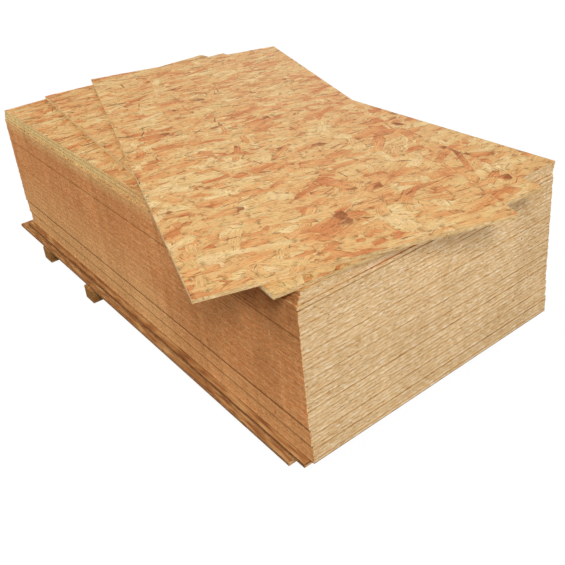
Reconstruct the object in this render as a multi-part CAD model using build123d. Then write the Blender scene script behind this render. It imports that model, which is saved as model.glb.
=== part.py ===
import os

from build123d import *

# Panel: a square-edged sheet as it leaves the saw
panel_length = 2500.0
panel_width = 1250.0
panel_thickness = 15.0
panel_arris = 0.8

# Squared pile: no two panels lie quite in line, along the pile or across it
pile_count = 42
pile_slip_along = 1.2
pile_slip_across = 0.8
slip_along_shares = (0.1, -0.6, 0.4, 0.9, -0.3, -1.0, 0.2, 0.7, -0.8, 0.5, -0.1)
slip_across_shares = (-0.2, 0.5, -0.9, 0.3, 0.8, -0.4, 0.0, 1.0, -0.7, 0.6, -0.5, 0.2, -1.0)

# Bundles at the foot of the pile: each stands back a step from the one above
bundle_panels = 5
bundle_count = 2
bundle_step = 4.0

# Pushed group: panels pushed back across the pile, each turned a little more than the one below
pushed_count = 3
pushed_slip_along = -6.0
pushed_slip_across = 6.0
pushed_spread = 4.0
pushed_turn = 0.08
pushed_turn_step = 0.06

# Fanned sheets: two cut narrower than the pile's panels and pulled round, so that their corners overhang the pile
sheet_width = 1100.0
fanned_lower_along = 52.0
fanned_lower_across = 10.0
fanned_lower_turn = -7.0
fanned_upper_along = 78.0
fanned_upper_across = 35.0
fanned_upper_turn = -18.4

# Base panels: two sheets under the pile that have crept towards one long side
base_upper_along = -20.0
base_upper_across = -19.0
base_lower_along = -75.0
base_lower_across = -44.0

# Bearers: sawn timbers across the pile, laid by eye, so their ends don't line up
bearer_count = 4
bearer_length = 1200.0
bearer_width = 85.0
bearer_height = 70.0
bearer_arris = 2.0
bearer_pitch = 545.0
bearer_end_inset = 300.0
bearer_creep = 65.0
bearer_creep_shares = (-1.15, -1.25, 0.55, 0.7)

on_floor = (Align.CENTER, Align.CENTER, Align.MIN)
panel_blank = chamfer(Box(panel_length, panel_width, panel_thickness, align=on_floor).edges(), panel_arris)
sheet_blank = chamfer(Box(panel_length, sheet_width, panel_thickness, align=on_floor).edges(), panel_arris)
bearer_blank = chamfer(Box(bearer_width, bearer_length, bearer_height, align=on_floor).edges(), bearer_arris)


# One board laid at a level of the pile, slipped along and across it and turned
def lay_board(blank, along, across, level, turn):
    return Pos(along, across, level) * Rot(0, 0, turn) * blank


# How far a panel of the squared pile stands back because of the bundle it is in
def bundle_set_back(index):
    bundles_above = max(0, bundle_count - index // bundle_panels)
    return bundles_above * bundle_step


pieces = {}

# Bearers, standing on the ground
for index in range(bearer_count):
    along = bearer_end_inset - panel_length / 2 + index * bearer_pitch
    across = bearer_creep * bearer_creep_shares[index % len(bearer_creep_shares)]
    pieces[f"bearer_{index + 1}"] = Pos(along, across, 0) * bearer_blank

# Base panels, flat on the bearers
level = bearer_height
pieces["base_panel_lower"] = lay_board(panel_blank, base_lower_along, base_lower_across, level, 0)
level += panel_thickness
pieces["base_panel_upper"] = lay_board(panel_blank, base_upper_along, base_upper_across, level, 0)

# Squared pile, panel on panel
for index in range(pile_count):
    level += panel_thickness
    along = pile_slip_along * slip_along_shares[index % len(slip_along_shares)]
    across = pile_slip_across * slip_across_shares[index % len(slip_across_shares)]
    across += bundle_set_back(index)
    pieces[f"panel_{index + 1:02d}"] = lay_board(panel_blank, along, across, level, 0)

# Pushed group
for index in range(pushed_count):
    level += panel_thickness
    across = pushed_slip_across + index * pushed_spread
    turn = pushed_turn + index * pushed_turn_step
    pieces[f"pushed_panel_{index + 1}"] = lay_board(panel_blank, pushed_slip_along, across, level, turn)

# Fanned sheets
level += panel_thickness
pieces["fanned_panel_lower"] = lay_board(
    sheet_blank, fanned_lower_along, fanned_lower_across, level, fanned_lower_turn
)
level += panel_thickness
pieces["fanned_panel_upper"] = lay_board(
    sheet_blank, fanned_upper_along, fanned_upper_across, level, fanned_upper_turn
)

# Origin: on the ground, under the middle of the whole stack
boxes = [piece.bounding_box() for piece in pieces.values()]
middle_along = (min(box.min.X for box in boxes) + max(box.max.X for box in boxes)) / 2
middle_across = (min(box.min.Y for box in boxes) + max(box.max.Y for box in boxes)) / 2

os.makedirs("parts", exist_ok=True)
for name, piece in pieces.items():
    export_step(Pos(-middle_along, -middle_across, 0) * piece, f"parts/{name}.step")
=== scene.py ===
import math

import bmesh
import bpy
import numpy as np
from mathutils import Matrix, Vector


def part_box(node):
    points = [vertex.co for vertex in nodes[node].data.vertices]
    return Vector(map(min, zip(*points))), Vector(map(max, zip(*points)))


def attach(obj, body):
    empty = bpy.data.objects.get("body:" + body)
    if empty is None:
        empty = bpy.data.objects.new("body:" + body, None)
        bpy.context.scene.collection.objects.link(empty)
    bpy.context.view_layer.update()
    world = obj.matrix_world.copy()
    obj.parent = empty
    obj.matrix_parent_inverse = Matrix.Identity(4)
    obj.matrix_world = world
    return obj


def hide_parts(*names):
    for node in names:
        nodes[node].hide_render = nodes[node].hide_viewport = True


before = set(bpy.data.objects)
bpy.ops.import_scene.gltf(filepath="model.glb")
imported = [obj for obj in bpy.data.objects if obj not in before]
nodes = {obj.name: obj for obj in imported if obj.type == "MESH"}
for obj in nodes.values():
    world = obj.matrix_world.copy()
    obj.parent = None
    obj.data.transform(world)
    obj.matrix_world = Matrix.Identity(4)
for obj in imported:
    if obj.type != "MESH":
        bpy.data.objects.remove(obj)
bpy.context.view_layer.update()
scene = bpy.context.scene
mm = 0.001
print("frame loaded:", len(nodes), "nodes")


def boxMiddle(name):
    low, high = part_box(name)
    return (Vector(low) + Vector(high)) / 2


def linearColour(text):  # sRGB hex to linear
    channels = [int(text[i:i + 2], 16) / 255 for i in (1, 3, 5)]
    return [c / 12.92 if c <= 0.04045 else ((c + 0.055) / 1.055) ** 2.4 for c in channels] + [1.0]


def addNode(tree, kind, inputs=None, stops=None, **settings):  # a node with its inputs set or linked
    node = tree.nodes.new("ShaderNode" + kind)
    for name, value in settings.items():
        setattr(node, name, value)
    for name, value in (inputs or {}).items():
        if isinstance(value, bpy.types.NodeSocket):
            tree.links.new(value, node.inputs[name])
        else:
            node.inputs[name].default_value = value
    if stops:
        elements = node.color_ramp.elements
        for place, _ in stops[1:-1]:
            elements.new(place)
        elements[0].position = stops[0][0]
        elements[-1].position = stops[-1][0]
        for element, (_, colour) in zip(elements, stops):
            element.color = linearColour(colour)
    return node


def newMaterial(name):
    material = bpy.data.materials.new(name)
    material.use_nodes = True
    return material, material.node_tree, material.node_tree.nodes["Principled BSDF"]


def sizedNoise(tree, place, sizes, detail, roughness=0.5, dimensions="3D"):  # spots of a real size
    spot = addNode(tree, "Mapping", {"Vector": place, "Scale": [1 / size for size in sizes]})
    inputs = {"Vector": spot.outputs["Vector"], "Scale": 1, "Detail": detail, "Roughness": roughness}
    return addNode(tree, "TexNoise", inputs, noise_dimensions=dimensions).outputs["Fac"]


shadePowers = {"green": 1.2, "blue": 1.45}  # over 1, so that wood goes redder as it goes darker


def warmShade(tree, colour, shade):
    green = addNode(tree, "Math", {0: shade, 1: shadePowers["green"]}, operation="POWER")
    blue = addNode(tree, "Math", {0: shade, 1: shadePowers["blue"]}, operation="POWER")
    tint = addNode(tree, "CombineXYZ", {"X": shade, "Y": green.outputs["Value"], "Z": blue.outputs["Value"]})
    shaded = addNode(tree, "VectorMath", {0: colour, 1: tint.outputs["Vector"]}, operation="MULTIPLY")
    return shaded.outputs["Vector"]


def setSurface(tree, bsdf, colour, height, finish):  # colour, relief and gloss, given to the shader
    bump = addNode(tree, "Bump", {"Height": height, **finish["relief"]})
    tree.links.new(colour, bsdf.inputs["Base Color"])
    tree.links.new(bump.outputs["Normal"], bsdf.inputs["Normal"])
    bsdf.inputs["Roughness"].default_value = finish["roughness"]
    bsdf.inputs["Specular IOR Level"].default_value = finish["gloss"]


# faces of the board: pine strands pressed flat in resin, matt; tan and cream run softly into orange
# sizes are along, across and up the board, or along and across a strand; ranges are as Map Range takes them
# real grain is about 1 mm wide, drawn coarser so that it shows
strandFinish = {
    "tones": [(0.0, "#6e4626"), (0.04, "#965f38"), (0.08, "#97804c"), (0.10, "#c46f39"), (0.17, "#d0854c"),
              (0.26, "#d9985c"), (0.40, "#dfa86a"), (0.52, "#ddae72"), (0.62, "#d9b377"), (0.74, "#e3b779"),
              (0.86, "#e3c386"), (1.0, "#ebd098")],
    "darkBelow": 0.095,  # tones under this are the dark slivers, which areas, blotches and rims leave alone
    "brightFrom": 0.105,
    "warm": {"sizes": (95 * mm, 260 * mm, 260 * mm), "detail": 2},  # how far an orange or a cream area runs
    "warmShift": {"From Min": 0.32, "From Max": 0.68, "To Min": -0.30, "To Max": 0.30},
    "blotch": {"sizes": (26 * mm, 75 * mm, 75 * mm), "detail": 3},
    "blotchTones": [(0.30, "#cd804a"), (0.45, "#dba467"), (0.58, "#e1b274"), (0.72, "#e8cb91")],
    "blotchShare": 0.32,
    "knotTone": "#7e3c10",  # brown at one end of a few strands
    "knotPlace": {"Location": (-0.9, 0, 0), "Scale": (1.1, 0.5, 1)},
    "knotRagged": 1.4,
    "knotCore": {"From Min": 0.9, "From Max": 1.5, "To Min": 0.7, "To Max": 0},
    "grain": {"sizes": (80 * mm, 4 * mm, 1), "detail": 3, "roughness": 0.6, "dimensions": "2D"},
    "grainShade": {"From Min": 0.3, "From Max": 0.7, "To Min": 0.81, "To Max": 1.095},
    "fleck": {"sizes": (26 * mm, 3.5 * mm, 1), "detail": 1, "dimensions": "2D"},
    "fleckShade": {"From Min": 0.27, "From Max": 0.36, "To Min": 0.58, "To Max": 1},
    "dot": {"sizes": (6 * mm, 6 * mm, 6 * mm), "detail": 1},  # resin and bark specks
    "dotShade": {"From Min": 0.26, "From Max": 0.36, "To Min": 0.70, "To Max": 1},
    "rim": {"sizes": (20 * mm, 30 * mm, 30 * mm), "detail": 1},  # painted shade at the rims: tight in one spot and lifted in the next
    "rimShadeDepth": {"From Min": 0.45, "From Max": 0.65, "To Min": 0.03, "To Max": 0.46},
    "rimShadeReach": {"From Min": 0.76, "From Max": 1.0},
    "relief": {"Strength": 0.25, "Distance": 0.4 * mm},
    "roughness": 0.72,
    "gloss": 0.1,
}


def pressedStrands(finish):
    material, tree, bsdf = newMaterial("pineStrandsPressedInResin")
    place = addNode(tree, "TexCoord").outputs["Object"]
    spanUv = addNode(tree, "UVMap", uv_map="strandSpan").outputs["UV"]
    grainUv = addNode(tree, "UVMap", uv_map="strandGrain").outputs["UV"]
    tone = addNode(tree, "Attribute", attribute_name="strandTone").outputs["Fac"]
    knotted = addNode(tree, "Attribute", attribute_name="strandKnot").outputs["Fac"]

    # tone: the strand's own, moved towards orange or cream by the area that it lies in
    bright = addNode(tree, "Math", {0: tone, 1: finish["darkBelow"]},
                     operation="GREATER_THAN").outputs["Value"]
    warmth = sizedNoise(tree, place, **finish["warm"])
    warmer = addNode(tree, "MapRange", {"Value": warmth, **finish["warmShift"]}).outputs["Result"]
    moved = addNode(tree, "Math", {0: warmer, 1: bright, 2: tone}, operation="MULTIPLY_ADD").outputs["Value"]
    lowest = addNode(tree, "Math", {0: bright, 1: finish["brightFrom"]},
                     operation="MULTIPLY").outputs["Value"]
    picked = addNode(tree, "Math", {0: moved, 1: lowest}, operation="MAXIMUM").outputs["Value"]
    strandTone = addNode(tree, "ValToRGB", {"Fac": picked}, finish["tones"]).outputs["Color"]
    blotch = sizedNoise(tree, place, **finish["blotch"])
    blotchTone = addNode(tree, "ValToRGB", {"Fac": blotch}, finish["blotchTones"]).outputs["Color"]
    share = addNode(tree, "Math", {0: bright, 1: finish["blotchShare"]},
                    operation="MULTIPLY").outputs["Value"]
    blended = addNode(tree, "Mix", {0: share, 6: strandTone, 7: blotchTone}, data_type="RGBA").outputs[2]

    # knots: a ragged brown end on the few strands that have one
    ragged = sizedNoise(tree, place, **finish["rim"])
    knotPlace = addNode(tree, "Mapping", {"Vector": spanUv, **finish["knotPlace"]}).outputs["Vector"]
    fromKnot = addNode(tree, "VectorMath", {0: knotPlace}, operation="LENGTH").outputs["Value"]
    outwards = addNode(tree, "Math", {0: ragged, 1: finish["knotRagged"], 2: fromKnot},
                       operation="MULTIPLY_ADD")
    knotCore = addNode(tree, "MapRange", {"Value": outwards.outputs["Value"], **finish["knotCore"]},
                       interpolation_type="SMOOTHSTEP").outputs["Result"]
    knotShown = addNode(tree, "Math", {0: knotCore, 1: knotted}, operation="MULTIPLY").outputs["Value"]
    knotTone = linearColour(finish["knotTone"])
    wood = addNode(tree, "Mix", {0: knotShown, 6: blended, 7: knotTone}, data_type="RGBA").outputs[2]

    # shade: painted shade along the rims of the strands, deep where a strand has lifted, then grain, flecks
    # and dots
    span = addNode(tree, "SeparateXYZ", {"Vector": spanUv})
    across = addNode(tree, "Math", {0: span.outputs["Y"]}, operation="ABSOLUTE").outputs["Value"]
    lengthwise = addNode(tree, "Math", {0: span.outputs["X"]}, operation="ABSOLUTE").outputs["Value"]
    toRim = addNode(tree, "Math", {0: across, 1: lengthwise}, operation="MAXIMUM").outputs["Value"]
    rimShadeMask = addNode(tree, "MapRange", {"Value": toRim, **finish["rimShadeReach"]},
                      interpolation_type="SMOOTHSTEP")
    rimShadeDepth = addNode(tree, "MapRange", {"Value": ragged, **finish["rimShadeDepth"]}).outputs["Result"]
    rimPaintedShade = addNode(tree, "Math", {0: rimShadeMask.outputs["Result"], 1: rimShadeDepth}, operation="MULTIPLY")
    rimShadeShown = addNode(tree, "Math", {0: rimPaintedShade.outputs["Value"], 1: bright}, operation="MULTIPLY")
    afterRimShade = addNode(tree, "Math", {0: 1.0, 1: rimShadeShown.outputs["Value"]}, operation="SUBTRACT")
    shade = afterRimShade.outputs["Value"]
    grain = sizedNoise(tree, grainUv, **finish["grain"])
    fleck = sizedNoise(tree, grainUv, **finish["fleck"])
    dot = sizedNoise(tree, place, **finish["dot"])
    for noise, shadeRange in ((grain, "grainShade"), (fleck, "fleckShade"), (dot, "dotShade")):
        other = addNode(tree, "MapRange", {"Value": noise, **finish[shadeRange]}).outputs["Result"]
        shade = addNode(tree, "Math", {0: shade, 1: other}, operation="MULTIPLY").outputs["Value"]
    setSurface(tree, bsdf, warmShade(tree, wood, shade), grain, finish)
    return material


# edges of the board: sawn through the layered strands, so fine short streaks and a darker line at each joint
# sizes are along, across and up; real strands are under 1 mm thick, drawn coarser so that they show
edgeFinish = {
    "faceNormal": 0.85,  # a surface that faces up or down this much is a face of the board
    "longNormal": 0.6,  # one that faces sideways this much is on a long side
    "streak": {"sizes": (28 * mm, 28 * mm, 4.2 * mm), "detail": 2, "roughness": 0.6},
    "streakStops": (0.28, 0.45, 0.58, 0.75),
    "dash": {"sizes": (24 * mm, 24 * mm, 4 * mm), "detail": 1, "roughness": 0.6},  # single bright strands
    "dashRange": {"From Min": 0.60, "From Max": 0.68},
    "dashTones": ("#faefd6", "#f0bf8a"),  # end, long sides
    "paleTop": {"From Min": 0.66, "From Max": 0.735},  # metres up, where the long sides go from brown to pale
    "paleFarShadedNear": {"From Min": -0.2, "From Max": 0.7, "To Min": 1, "To Max": 0},  # metres along, where it ends, leaving painted shade in brown at the near end
    "paleTone": "#fcdc98",
    "tanFoot": {"From Min": 0.16, "From Max": 0.50},  # metres up, where the long sides go from tan to brown
    "tanSunkInShade": {"From Min": 0.1, "From Max": 0.45, "To Max": 0.2},  # metres along, where the tan sinks, leaving painted shade in brown under the overhanging sheets
    "tanTone": "#fac281",
    "jointReach": {"From Min": 0.26, "From Max": 0.46},  # thicknesses from the board's middle
    "joint": {"sizes": (70 * mm, 70 * mm, 15 * mm), "detail": 2, "roughness": 0.6},  # tight here, open there
    "jointRange": {"From Min": 0.35, "From Max": 0.68},
    "jointVaries": {"From Min": 0.45, "To Min": 0.45, "To Max": 1.6},  # from a tight joint to an open one
    "longJoint": 0.45,  # how much of a joint line shows on the long sides
    "bundleJointShadows": [(7, 0.55), (12, 0.84), (36, 0.3)],  # joint, counted from the lowest board, and how dark: partly a joint, partly painted shadow under the step between bundles
    "bundleReach": 0.32,  # thicknesses
    # painted shadow: a dark line along the pile's foot, at the joint over the base
    "footShadowLayer": 2,
    "footShadowReach": 0.25,
    "footShadowDepth": 0.62,
    "layerShade": {"To Min": 0.95, "To Max": 1.05},  # from board to board
    "patch": {"sizes": (280 * mm, 280 * mm, 280 * mm), "detail": 2},
    "patchShade": {"From Min": 0.3, "From Max": 0.7, "To Min": 0.93, "To Max": 1.07},
    "speck": {"sizes": (12 * mm, 12 * mm, 4 * mm), "detail": 1, "roughness": 0.6},  # small voids
    "speckShade": {"From Min": 0.29, "From Max": 0.36, "To Min": 0.5, "To Max": 1},
    "fibre": {"sizes": (9 * mm, 9 * mm, 6 * mm), "detail": 2, "roughness": 0.6},
    "fibreShade": {"From Min": 0.32, "From Max": 0.62, "To Min": 0.8, "To Max": 1.08},
    "saw": {"sizes": (38 * mm, 38 * mm, 700 * mm), "detail": 1, "roughness": 0.6},  # faint upright marks
    "sawShade": {"From Min": 0.3, "From Max": 0.7, "To Min": 0.92, "To Max": 1.07},
    "onEnd": 0.25,  # how much of the fibres and the saw's marks shows on the end
    "relief": {"Strength": 0.4, "Distance": 0.6 * mm},
    "roughness": 0.85,
    "gloss": 0.1,
}
pileEdge = {  # sawn and weathered: straw ends, brown long sides, their brown partly painted shade
    "end": ["#c4945e", "#dbb785", "#e2c294", "#f4e3c3"],
    "long": ["#d2864d", "#e99d60", "#eea76a", "#f4b77d"],
    "faces": [(0.32, "#9c6c3e"), (0.5, "#b08352"), (0.68, "#c09966")],
    "strand": {"sizes": (24 * mm, 95 * mm, 95 * mm), "detail": 3},
    "joint": {"To Min": 0.20, "To Max": 0.38},  # how dark, from tight to open
    "dash": 0.55,  # from here on, how much of each shows
    "bundles": 1.0,
    "fade": 0.5,
    "tan": 0.85,
}
pushedEdge = dict(pileEdge, joint={"To Min": 0.04, "To Max": 0.14}, bundles=0.0, fade=1.0)  # pale far end; the brown near end is partly painted shade
freshEdge = {  # newly sawn: cream long sides
    "end": ["#b08a55", "#d0ac76", "#d9b884", "#e8cfa4"],
    "long": ["#dcbc80", "#efd29c", "#f3daa6", "#f9e8be"],
    "faces": [(0.32, "#cb8c58"), (0.5, "#dfb076"), (0.68, "#e8ca92")],
    "strand": {"sizes": (24 * mm, 95 * mm, 95 * mm), "detail": 3},
    "joint": {"To Min": 0.04, "To Max": 0.14},
    "dash": 0.2,
    "bundles": 0.0,
    "fade": 0.0,
    "tan": 0.0,
}
baseEdge = {  # browned by damp, and rubbed along its length where it sticks out
    "end": ["#a87343", "#c4935e", "#cd9f6c", "#dab284"],
    "long": ["#7f5230", "#a4744a", "#b18257", "#c4996f"],
    "faces": [(0.34, "#875430"), (0.5, "#a67343"), (0.68, "#c39864")],
    "strand": {"sizes": (110 * mm, 12 * mm, 12 * mm), "detail": 3},
    "joint": {"To Min": 0.30, "To Max": 0.60},
    "dash": 0.4,
    "bundles": 0.0,
    "fade": 0.0,
    "tan": 0.0,
}


def edgeColours(tree, place, isLong, streak, tones):  # streaks, paler near the top and tan near the foot, both less at the near end, whose brown is partly painted shade
    finish = edgeFinish
    spot = addNode(tree, "SeparateXYZ", {"Vector": place})
    endStops = list(zip(finish["streakStops"], tones["end"]))
    longStops = list(zip(finish["streakStops"], tones["long"]))
    endTone = addNode(tree, "ValToRGB", {"Fac": streak}, endStops).outputs["Color"]
    longTone = addNode(tree, "ValToRGB", {"Fac": streak}, longStops).outputs["Color"]
    paleRange = {**finish["paleTop"], "To Max": tones["fade"]}
    upwards = addNode(tree, "MapRange", {"Value": spot.outputs["Z"], **paleRange},
                      interpolation_type="SMOOTHSTEP").outputs["Result"]
    farAway = addNode(tree, "MapRange", {"Value": spot.outputs["X"], **finish["paleFarShadedNear"]}).outputs["Result"]
    pale = addNode(tree, "Math", {0: upwards, 1: farAway}, operation="MULTIPLY").outputs["Value"]
    paleTone = linearColour(finish["paleTone"])
    faded = addNode(tree, "Mix", {0: pale, 6: longTone, 7: paleTone}, data_type="RGBA").outputs[2]
    sunkInShade = addNode(tree, "MapRange", {"Value": spot.outputs["X"], **finish["tanSunkInShade"]},
                   interpolation_type="SMOOTHSTEP").outputs["Result"]
    raised = addNode(tree, "Math", {0: spot.outputs["Z"], 1: sunkInShade}, operation="ADD").outputs["Value"]
    tanRange = {**finish["tanFoot"], "To Min": tones["tan"], "To Max": 0}
    tanShown = addNode(tree, "MapRange", {"Value": raised, **tanRange}).outputs["Result"]
    tanTone = linearColour(finish["tanTone"])
    tanned = addNode(tree, "Mix", {0: tanShown, 6: faded, 7: tanTone}, data_type="RGBA").outputs[2]
    edgeTone = addNode(tree, "Mix", {0: isLong, 6: endTone, 7: tanned}, data_type="RGBA").outputs[2]
    dash = sizedNoise(tree, place, **finish["dash"])
    dashRange = {**finish["dashRange"], "To Max": tones["dash"]}
    dashShown = addNode(tree, "MapRange", {"Value": dash, **dashRange}).outputs["Result"]
    endDash, longDash = (linearColour(tone) for tone in finish["dashTones"])
    dashTone = addNode(tree, "Mix", {0: isLong, 6: endDash, 7: longDash}, data_type="RGBA").outputs[2]
    return addNode(tree, "Mix", {0: dashShown, 6: edgeTone, 7: dashTone}, data_type="RGBA").outputs[2]


def jointShades(tree, place, isLong, tones):  # a line where board lies on board, stronger between bundles with painted shadow under their steps, and a painted shadow line at the foot
    finish = edgeFinish
    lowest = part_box("base_panel_lower")[0][2]
    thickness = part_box("panel_01")[1][2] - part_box("panel_01")[0][2]
    height = addNode(tree, "SeparateXYZ", {"Vector": place}).outputs["Z"]
    level = addNode(tree, "Math", {0: height, 1: lowest}, operation="SUBTRACT").outputs["Value"]
    layer = addNode(tree, "Math", {0: level, 1: thickness}, operation="DIVIDE").outputs["Value"]
    inLayer = addNode(tree, "Math", {0: layer}, operation="FRACT").outputs["Value"]
    fromMiddle = addNode(tree, "Math", {0: inLayer, 1: 0.5}, operation="SUBTRACT").outputs["Value"]
    toJoint = addNode(tree, "Math", {0: fromMiddle}, operation="ABSOLUTE").outputs["Value"]
    nearJoint = addNode(tree, "MapRange", {"Value": toJoint, **finish["jointReach"]},
                        interpolation_type="SMOOTHSTEP").outputs["Result"]
    opening = sizedNoise(tree, place, **finish["joint"])
    jointDepth = addNode(tree, "MapRange", {"Value": opening, **finish["jointRange"], **tones["joint"]})
    jointIndex = addNode(tree, "Math", {0: layer}, operation="ROUND").outputs["Value"]
    jointRandom = addNode(tree, "TexWhiteNoise", {"W": jointIndex}, noise_dimensions="1D").outputs["Value"]
    jointOpen = addNode(tree, "MapRange", {"Value": jointRandom, **finish["jointVaries"]})
    jointShare = addNode(tree, "MapRange", {"Value": isLong, "To Min": 1, "To Max": finish["longJoint"]})
    dark = nearJoint
    for other in (jointDepth, jointOpen, jointShare):
        darker = {0: dark, 1: other.outputs["Result"]}
        dark = addNode(tree, "Math", darker, operation="MULTIPLY").outputs["Value"]
    joint = addNode(tree, "Math", {0: 1.0, 1: dark}, operation="SUBTRACT").outputs["Value"]

    lines = 0.0
    for index, depth in finish["bundleJointShadows"]:
        line = addNode(tree, "Math", {0: layer, 1: index, 2: finish["bundleReach"]}, operation="COMPARE")
        added = {0: line.outputs["Value"], 1: depth, 2: lines}
        lines = addNode(tree, "Math", added, operation="MULTIPLY_ADD").outputs["Value"]
    onLong = addNode(tree, "Math", {0: lines, 1: isLong}, operation="MULTIPLY").outputs["Value"]
    bundle = addNode(tree, "Math", {0: onLong, 1: -tones["bundles"], 2: 1.0}, operation="MULTIPLY_ADD")
    # painted shadow along the pile's foot
    footShadowLine = addNode(tree, "Math", {0: layer, 1: finish["footShadowLayer"], 2: finish["footShadowReach"]},
                       operation="COMPARE").outputs["Value"]
    foot = addNode(tree, "Math", {0: footShadowLine, 1: -finish["footShadowDepth"], 2: 1.0}, operation="MULTIPLY_ADD")
    layerIndex = addNode(tree, "Math", {0: layer}, operation="FLOOR").outputs["Value"]
    layerRandom = addNode(tree, "TexWhiteNoise", {"W": layerIndex}, noise_dimensions="1D").outputs["Value"]
    layerShade = addNode(tree, "MapRange", {"Value": layerRandom, **finish["layerShade"]})
    return [joint, bundle.outputs["Value"], foot.outputs["Value"], layerShade.outputs["Result"]]


def sawnShades(tree, place, isLong):  # patches, voids, and the fibres and marks that the saw leaves
    finish = edgeFinish
    shades = {}
    for mark in ("patch", "speck", "fibre", "saw"):
        noise = sizedNoise(tree, place, **finish[mark])
        shades[mark] = addNode(tree, "MapRange", {"Value": noise, **finish[mark + "Shade"]}).outputs["Result"]
    marks = addNode(tree, "Math", {0: shades["fibre"], 1: shades["saw"]},
                    operation="MULTIPLY").outputs["Value"]
    marksShare = addNode(tree, "MapRange", {"Value": isLong, "To Min": finish["onEnd"], "To Max": 1})
    marksShown = addNode(tree, "Mix", {0: marksShare.outputs["Result"], 2: 1.0, 3: marks}).outputs[0]
    return [shades["patch"], shades["speck"], marksShown]


def sawnBoardEdge(name, tones):
    finish = edgeFinish
    material, tree, bsdf = newMaterial(name)
    place = addNode(tree, "TexCoord").outputs["Object"]
    normal = addNode(tree, "SeparateXYZ", {"Vector": addNode(tree, "NewGeometry").outputs["Normal"]})
    upright = addNode(tree, "Math", {0: normal.outputs["Z"]}, operation="ABSOLUTE").outputs["Value"]
    isFace = addNode(tree, "Math", {0: upright, 1: finish["faceNormal"]},
                     operation="GREATER_THAN").outputs["Value"]
    sideways = addNode(tree, "Math", {0: normal.outputs["Y"]}, operation="ABSOLUTE").outputs["Value"]
    isLong = addNode(tree, "Math", {0: sideways, 1: finish["longNormal"]},
                     operation="GREATER_THAN").outputs["Value"]
    streak = sizedNoise(tree, place, **finish["streak"])
    shade, *others = jointShades(tree, place, isLong, tones) + sawnShades(tree, place, isLong)
    for other in others:
        shade = addNode(tree, "Math", {0: shade, 1: other}, operation="MULTIPLY").outputs["Value"]
    edgeTone = warmShade(tree, edgeColours(tree, place, isLong, streak, tones), shade)
    strand = sizedNoise(tree, place, **tones["strand"])
    faceTone = addNode(tree, "ValToRGB", {"Fac": strand}, tones["faces"]).outputs["Color"]
    colour = addNode(tree, "Mix", {0: isFace, 6: edgeTone, 7: faceTone}, data_type="RGBA").outputs[2]
    setSurface(tree, bsdf, colour, streak, finish)
    return material


# bearers: rough-sawn spruce, grain along the timber, arcs of growth rings on the ends
bearerFinish = {
    "tones": [(0.32, "#7f5229"), (0.52, "#a8763f"), (0.7, "#bd8b52")],
    "grain": {"sizes": (9 * mm, 300 * mm, 9 * mm), "detail": 3},
    "ringWidth": 7 * mm,  # real rings are about 3 mm, drawn coarser so that they show
    "ringTone": {"From Min": -1, "To Min": 0.38, "To Max": 0.62},
    "heart": (20 * mm, -30 * mm),  # the tree's middle, from the middle of the timber's foot
    "endNormal": 0.7,
    "relief": {"Strength": 0.5, "Distance": 1 * mm},
    "roughness": 0.85,
    "gloss": 0.1,
}


def roughSawnSpruce(finish):
    material, tree, bsdf = newMaterial("spruceRoughSawn")
    place = addNode(tree, "TexCoord").outputs["Object"]
    grain = sizedNoise(tree, place, **finish["grain"])
    spot = addNode(tree, "SeparateXYZ", {"Vector": place})
    firstHeart = boxMiddle("bearer_1").x + finish["heart"][0]
    halfPitch = (boxMiddle("bearer_2").x - boxMiddle("bearer_1").x) / 2
    fromFirst = addNode(tree, "Math", {0: spot.outputs["X"], 1: firstHeart},
                        operation="SUBTRACT").outputs["Value"]
    fromHeart = addNode(tree, "Math", {0: fromFirst, 1: halfPitch, 2: -halfPitch},
                        operation="WRAP").outputs["Value"]
    above = addNode(tree, "Math", {0: spot.outputs["Z"], 1: finish["heart"][1]}, operation="SUBTRACT")
    arm = addNode(tree, "CombineXYZ", {"X": fromHeart, "Z": above.outputs["Value"]}).outputs["Vector"]
    radius = addNode(tree, "VectorMath", {0: arm}, operation="LENGTH").outputs["Value"]
    perMetre = 2 * math.pi / finish["ringWidth"]
    turns = addNode(tree, "Math", {0: radius, 1: perMetre}, operation="MULTIPLY").outputs["Value"]
    ring = addNode(tree, "Math", {0: turns}, operation="SINE").outputs["Value"]
    ringTone = addNode(tree, "MapRange", {"Value": ring, **finish["ringTone"]}).outputs["Result"]
    normal = addNode(tree, "SeparateXYZ", {"Vector": addNode(tree, "NewGeometry").outputs["Normal"]})
    sideways = addNode(tree, "Math", {0: normal.outputs["Y"]}, operation="ABSOLUTE").outputs["Value"]
    isEnd = addNode(tree, "Math", {0: sideways, 1: finish["endNormal"]},
                    operation="GREATER_THAN").outputs["Value"]
    pattern = addNode(tree, "Mix", {0: isEnd, 2: grain, 3: ringTone}).outputs[0]
    tone = addNode(tree, "ValToRGB", {"Fac": pattern}, finish["tones"]).outputs["Color"]
    setSurface(tree, bsdf, tone, grain, finish)
    return material


strandMaterial = pressedStrands(strandFinish)
boardMaterials = {  # by the first word of a node's name
    "panel": sawnBoardEdge("osbEdgeWeatheredAndPaintedShade", pileEdge),
    "pushed": sawnBoardEdge("osbEdgePaleFarPaintedShadeNear", pushedEdge),
    "fanned": sawnBoardEdge("osbEdgeFreshlySawn", freshEdge),
    "base": sawnBoardEdge("osbEdgeBrownedByDamp", baseEdge),
    "bearer": roughSawnSpruce(bearerFinish),
}


def materialFor(name):
    return boardMaterials[name.split("_")[0]]


for name, node in nodes.items():
    for materialSlot in node.material_slots:
        materialSlot.material = materialFor(name)
print("materials made and given to the boards and bearers")


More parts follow.
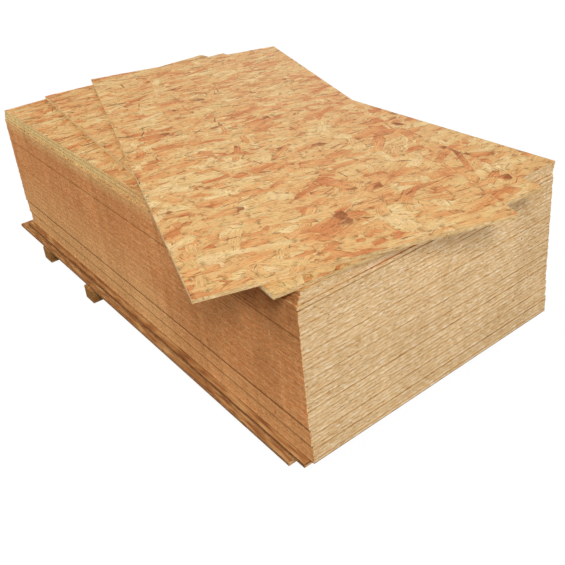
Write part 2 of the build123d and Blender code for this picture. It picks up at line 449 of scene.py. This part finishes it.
# strands on the open faces: thousands of thin flakes, laid mostly across the board, cut off at its edges
strandSet = {
    "seed": 41,
    "boards": {  # each open board, and the one that lies on it
        "fanned_panel_upper": None,
        "fanned_panel_lower": "fanned_panel_upper",
        "pushed_panel_3": "fanned_panel_lower",
        "panel_42": "pushed_panel_1",
    },
    "depth": 1.0 * mm,  # how far the body under the strands is lowered
    "coverage": 4.5,  # how many strands lie over any spot
    "length": (55 * mm, 170 * mm),
    "width": (9 * mm, 44 * mm),
    "slimness": (0.6, 1),
    "spread": math.radians(18),
    "lengthGrowth": (0.9, 1.5),  # strand size from the far end to the near end
    "widthGrowth": (0.85, 2.0),
    "stray": (0.18, 0.48),  # share laid at any angle, from the far end to the near end
    "tone": (0.11, 1),
    "level": (0.15, 0.8),  # in depths, as the other levels are
    "lowestLevel": 0.05,
    "sliverShare": 0.078,
    "sliverLength": (9 * mm, 58 * mm),
    "sliverWidth": (4 * mm, 8 * mm),
    "sliverGrowth": (1.7, 0.85),  # the other way round, as the dark slivers are largest at the far end
    "sliverTone": (0.01, 0.09),
    "sliverLevel": (0.8, 0.9),
    "sliverTaper": 0.75,
    "knotShare": 0.011,
    "knotTone": (0.1, 0.3),  # knotty wood is orange
    "knotLevel": (0.7, 0.8),
    "ragged": 0.07,  # in half sizes of a strand
    "bow": 0.25,
    "sliverBow": 5,  # times the bow of other strands
    "tilt": 0.06,
    "skirt": 0.5 * mm,
    "skirtDrop": 1.1,  # in depths
    "grainApart": 40,  # metres of grain that strands are cut from
    "hidden": 70 * mm,  # how far under the board above the strands go on
}
flakeOutline = np.array([(-1, -0.7), (-0.8, -1), (0.75, -1), (1, -0.6),
                         (1, 0.7), (0.8, 1), (-0.75, 1), (-1, 0.75)])  # in half lengths and half widths
bodySet = {"topFace": 0.1 * mm, "topEdge": 2 * mm, "merge": 0.01 * mm, "flat": math.radians(1)}


def graded(pair, share):  # from the first value to the second
    return pair[0] + share * (pair[1] - pair[0])


def boardAxes(name):  # middle of the top, unit vectors along and across, half sizes
    points = [v.co.copy() for v in nodes[name].data.vertices]
    top = max(p.z for p in points)
    corners = {tuple(round(c, 5) for c in p): p for p in points if p.z > top - bodySet["topFace"]}
    corners = list(corners.values())
    first = corners[0]
    byDistance = sorted(corners[1:], key=lambda p: (p - first).length)
    across, along = byDistance[0] - first, byDistance[1] - first
    middle = sum(corners, Vector()) / len(corners)
    return middle, along.normalized(), across.normalized(), along.length / 2, across.length / 2


def drawStrands(halfLength, halfWidth, nearSide, rng):  # place, size, angle, tone and level of each strand
    meanArea = np.mean(strandSet["length"]) * np.mean(strandSet["width"])
    count = int(strandSet["coverage"] * 4 * halfLength * halfWidth / meanArea)
    along = rng.uniform(-halfLength, halfLength, count)
    across = rng.uniform(-halfWidth, halfWidth, count)
    nearness = 0.5 + 0.5 * along / halfLength * nearSide
    length = rng.uniform(*strandSet["length"], count) * graded(strandSet["lengthGrowth"], nearness)
    width = rng.uniform(*strandSet["width"], count) * rng.uniform(*strandSet["slimness"], count)
    width *= graded(strandSet["widthGrowth"], nearness)
    angle = math.pi / 2 + rng.normal(0, strandSet["spread"], count)
    stray = rng.random(count) < graded(strandSet["stray"], nearness)
    angle[stray] = rng.uniform(0, math.pi, stray.sum())
    tone = rng.uniform(*strandSet["tone"], count)
    level = rng.uniform(*strandSet["level"], count) * strandSet["depth"]
    sliver = rng.random(count) < strandSet["sliverShare"]
    growth = graded(strandSet["sliverGrowth"], nearness[sliver])
    length[sliver] = rng.uniform(*strandSet["sliverLength"], sliver.sum()) * growth
    width[sliver] = rng.uniform(*strandSet["sliverWidth"], sliver.sum()) * growth
    tone[sliver] = rng.uniform(*strandSet["sliverTone"], sliver.sum())
    level[sliver] = rng.uniform(*strandSet["sliverLevel"], sliver.sum()) * strandSet["depth"]
    knotted = (rng.random(count) < strandSet["knotShare"]) & ~sliver
    level[knotted] = rng.uniform(*strandSet["knotLevel"], knotted.sum()) * strandSet["depth"]
    tone[knotted] = graded(strandSet["knotTone"], tone[knotted])
    return {"along": along, "across": across, "length": length, "width": width, "angle": angle,
            "tone": tone, "level": level, "sliver": sliver, "knotted": knotted}


def openStrands(strands, name, above):  # leaves out what lies well under the board above
    middle, along, across, _, _ = boardAxes(name)
    overMiddle, overAlong, overAcross, overLength, overWidth = boardAxes(above)
    plan = np.array(middle.xy) + strands["along"][:, None] * np.array(along.xy)
    plan += strands["across"][:, None] * np.array(across.xy)
    gap = plan - np.array(overMiddle.xy)
    covered = np.abs(gap @ np.array(overAlong.xy)) < overLength - strandSet["hidden"]
    covered &= np.abs(gap @ np.array(overAcross.xy)) < overWidth - strandSet["hidden"]
    return {key: values[~covered] for key, values in strands.items()}


def flakePoints(name, strands, span, rng):  # each flake's upper ring and the foot of its skirt
    depth = strandSet["depth"]
    middle, along, across, halfLength, halfWidth = boardAxes(name)
    halfLengths, halfWidths = strands["length"] / 2, strands["width"] / 2
    cosine, sine = np.cos(strands["angle"])[:, None], np.sin(strands["angle"])[:, None]
    bow = rng.normal(0, strandSet["bow"], len(span)) * np.where(strands["sliver"], strandSet["sliverBow"], 1)
    tilt = rng.normal(0, strandSet["tilt"], (len(span), 1)) * depth * span[:, :, 0]
    tops = np.clip(strands["level"][:, None] + tilt, strandSet["lowestLevel"] * depth, depth) - depth
    feet = np.full_like(tops, -strandSet["skirtDrop"] * depth)
    rings = []
    for grow, heights in ((0, tops), (strandSet["skirt"], feet)):
        x = span[:, :, 0] * (halfLengths + grow)[:, None]
        y = span[:, :, 1] * (halfWidths + grow)[:, None] + (bow * halfWidths)[:, None] * span[:, :, 0] ** 2
        alongPlace = np.clip(strands["along"][:, None] + cosine * x - sine * y, -halfLength, halfLength)
        acrossPlace = np.clip(strands["across"][:, None] + sine * x + cosine * y, -halfWidth, halfWidth)
        ring = np.array(middle) + alongPlace[..., None] * np.array(along)
        ring += acrossPlace[..., None] * np.array(across)
        ring[..., 2] += heights
        rings.append(ring)
    return np.concatenate(rings, axis=1).reshape(-1, 3)


def strandFlakes(name, above, rng):
    _, along, _, halfLength, halfWidth = boardAxes(name)
    strands = drawStrands(halfLength, halfWidth, math.copysign(1, along.x), rng)
    if above:
        strands = openStrands(strands, name, above)
    count = len(strands["along"])
    sides = len(flakeOutline)
    span = flakeOutline[None] + rng.normal(0, strandSet["ragged"], (count, sides, 2))
    taper = strandSet["sliverTaper"] * strands["sliver"][:, None]
    span[:, :, 1] *= 1 - taper * np.clip(span[:, :, 0] ** 2, 0, 1)
    points = flakePoints(name, strands, span, rng)
    halfSizes = np.stack([strands["length"], strands["width"]], axis=-1) / 2
    grain = span * halfSizes[:, None] + rng.uniform(0, strandSet["grainApart"], (count, 1, 2))
    faces = []
    for start in range(0, count * sides * 2, sides * 2):
        faces.append(list(range(start, start + sides)))
        for corner in range(sides):
            following = (corner + 1) % sides
            foot = start + sides
            faces.append([start + corner, foot + corner, foot + following, start + following])
    mesh = bpy.data.meshes.new(name + "Strands")
    mesh.from_pydata(points.tolist(), [], faces)
    for layerName, values in (("strandTone", strands["tone"]), ("strandKnot", strands["knotted"])):
        layer = mesh.attributes.new(layerName, "FLOAT", "FACE")
        layer.data.foreach_set("value", np.repeat(values, sides + 1).astype(np.float32))
    corners = np.empty(len(mesh.loops), dtype=np.int32)
    mesh.loops.foreach_get("vertex_index", corners)
    for layerName, values in (("strandGrain", grain), ("strandSpan", span)):
        perPoint = np.concatenate([values, values], axis=1).reshape(-1, 2)
        layer = mesh.uv_layers.new(name=layerName)
        layer.data.foreach_set("uv", perPoint[corners].astype(np.float32).ravel())
    return mesh


def loweredBody(name):  # the board itself, its top face let down by the depth of the strands
    shape = bmesh.new()
    shape.from_mesh(nodes[name].data)
    bmesh.ops.remove_doubles(shape, verts=shape.verts, dist=bodySet["merge"])
    bmesh.ops.dissolve_limit(shape, angle_limit=bodySet["flat"], verts=shape.verts, edges=shape.edges)
    top = max(v.co.z for v in shape.verts)
    raised = [v for v in shape.verts if v.co.z > top - bodySet["topEdge"]]
    bmesh.ops.translate(shape, verts=raised, vec=(0, 0, -strandSet["depth"]))
    mesh = bpy.data.meshes.new(name + "Body")
    shape.to_mesh(mesh)
    shape.free()
    return mesh


def dressedBoard(name, above):
    rng = np.random.default_rng(strandSet["seed"] + sum(map(ord, name)))
    body = bpy.data.objects.new(name + "_dressed", loweredBody(name))
    strands = bpy.data.objects.new(name + "_strands", strandFlakes(name, above, rng))
    for piece, material in ((body, materialFor(name)), (strands, strandMaterial)):
        scene.collection.objects.link(piece)
        piece.data.materials.clear()
        piece.data.materials.append(material)
    joined = [body, strands]
    with bpy.context.temp_override(active_object=body, object=body, selected_editable_objects=joined):
        bpy.ops.object.join()
    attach(body, "root")
    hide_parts(name)
    print(name, "dressed,", sum(len(p.vertices) - 2 for p in body.data.polygons), "triangles")


for name, above in strandSet["boards"].items():
    dressedBoard(name, above)


def backdropRays(tree):  # 1 for rays that show the background: the camera's, off gloss and through glass
    rays = addNode(tree, "LightPath")
    shown = rays.outputs["Is Camera Ray"]
    for other in ("Is Glossy Ray", "Is Transmission Ray"):
        either = {0: shown, 1: rays.outputs[other]}
        shown = addNode(tree, "Math", either, operation="MAXIMUM").outputs["Value"]
    return shown


# floor: plain and pale, white to the camera, with the stack's soft shadow kept
floorSet = {"size": 60.0, "colour": "#8f8b86", "whiteness": 0.82, "glow": 1.18}


def paleFloor(settings):
    shape = bmesh.new()
    bmesh.ops.create_grid(shape, x_segments=1, y_segments=1, size=settings["size"] / 2)
    mesh = bpy.data.meshes.new("floor")
    shape.to_mesh(mesh)
    shape.free()
    floor = bpy.data.objects.new("floor", mesh)
    scene.collection.objects.link(floor)
    material, tree, bsdf = newMaterial("paintedFloorMatt")
    bsdf.inputs["Base Color"].default_value = linearColour(settings["colour"])
    bsdf.inputs["Roughness"].default_value = 1.0
    bsdf.inputs["Specular IOR Level"].default_value = 0.0
    shown = addNode(tree, "Math", {0: backdropRays(tree), 1: settings["whiteness"]}, operation="MULTIPLY")
    white = addNode(tree, "Emission", {"Color": linearColour("#ffffff"), "Strength": settings["glow"]})
    mixed = addNode(tree, "MixShader", {0: shown.outputs["Value"], 1: bsdf.outputs["BSDF"],
                                        2: white.outputs["Emission"]})
    tree.links.new(mixed.outputs["Shader"], tree.nodes["Material Output"].inputs["Surface"])
    mesh.materials.append(material)


paleFloor(floorSet)

# light: three soft lamps high along the long side, a broad low one at the end, one behind, a faint surround
lightSet = {
    "lamps": {"keyLamp": {"from": (6.6, -3.6, 7.15), "size": 2.8, "power": 520},
              "sideLamp": {"from": (0.6, -5.0, 9.2), "size": 2.4, "power": 202},
              "farLamp": {"from": (-5.0, -6.0, 7.0), "size": 2.4, "power": 303},
              "endLamp": {"from": (13.3, 1.4, 4.2), "size": 5.6, "power": 800},
              "backLamp": {"from": (-7.5, 7.0, 5.0), "size": 6.0, "power": 630}},
    "surround": 0.04,
}


def softLight(settings):
    for name, lampSet in settings["lamps"].items():
        lamp = bpy.data.lights.new(name, "AREA")
        lamp.shape = "DISK"
        lamp.size = lampSet["size"]
        lamp.energy = lampSet["power"]
        holder = bpy.data.objects.new(name, lamp)
        holder.location = lampSet["from"]
        holder.rotation_euler = (-Vector(lampSet["from"])).to_track_quat("-Z", "Y").to_euler()
        scene.collection.objects.link(holder)
    world = bpy.data.worlds.new("paleSurround")
    world.use_nodes = True
    scene.world = world
    tree = world.node_tree
    strengths = {"To Min": settings["surround"], "To Max": 1}
    strength = addNode(tree, "MapRange", {"Value": backdropRays(tree), **strengths})
    background = tree.nodes["Background"]
    background.inputs["Color"].default_value = linearColour("#ffffff")
    tree.links.new(strength.outputs["Result"], background.inputs["Strength"])


softLight(lightSet)
print("floor and light set")

# camera: above the near corner of the stack, looking past it to the far end
cameraSet = {
    "frame": 565,  # pixels, as focal and centre are
    "focal": 768.93,
    "centre": (282.41, 205.0),
    "azimuth": math.radians(54.87),
    "elevation": math.radians(26.461),
    "roll": -0.101,  # radians
    "distance": 4.299,
    "targetFromPile": (-0.3535, 0.4881, 0.0),
    "sensor": 36,
}


def photoCamera(settings):
    pileFoot = boxMiddle("panel_12")
    pileFoot.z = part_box("panel_01")[0][2]
    azimuth, elevation, roll = settings["azimuth"], settings["elevation"], settings["roll"]
    flat = math.cos(elevation)
    back = Vector((math.sin(azimuth) * flat, -math.cos(azimuth) * flat, math.sin(elevation)))
    right = Vector((math.cos(azimuth), math.sin(azimuth), 0))
    up = back.cross(right)
    turnedRight = right * math.cos(roll) + up * math.sin(roll)
    turnedUp = up * math.cos(roll) - right * math.sin(roll)
    data = bpy.data.cameras.new("camera")
    data.sensor_width = settings["sensor"]
    data.lens = settings["sensor"] * settings["focal"] / settings["frame"]
    data.shift_x = 0.5 - settings["centre"][0] / settings["frame"]
    data.shift_y = settings["centre"][1] / settings["frame"] - 0.5
    camera = bpy.data.objects.new("camera", data)
    turn = Matrix((turnedRight, turnedUp, back)).transposed().to_4x4()
    eye = pileFoot + Vector(settings["targetFromPile"]) + back * settings["distance"]
    camera.matrix_world = Matrix.Translation(eye) @ turn
    scene.collection.objects.link(camera)
    scene.camera = camera


photoCamera(cameraSet)
scene.view_settings.view_transform = "Standard"
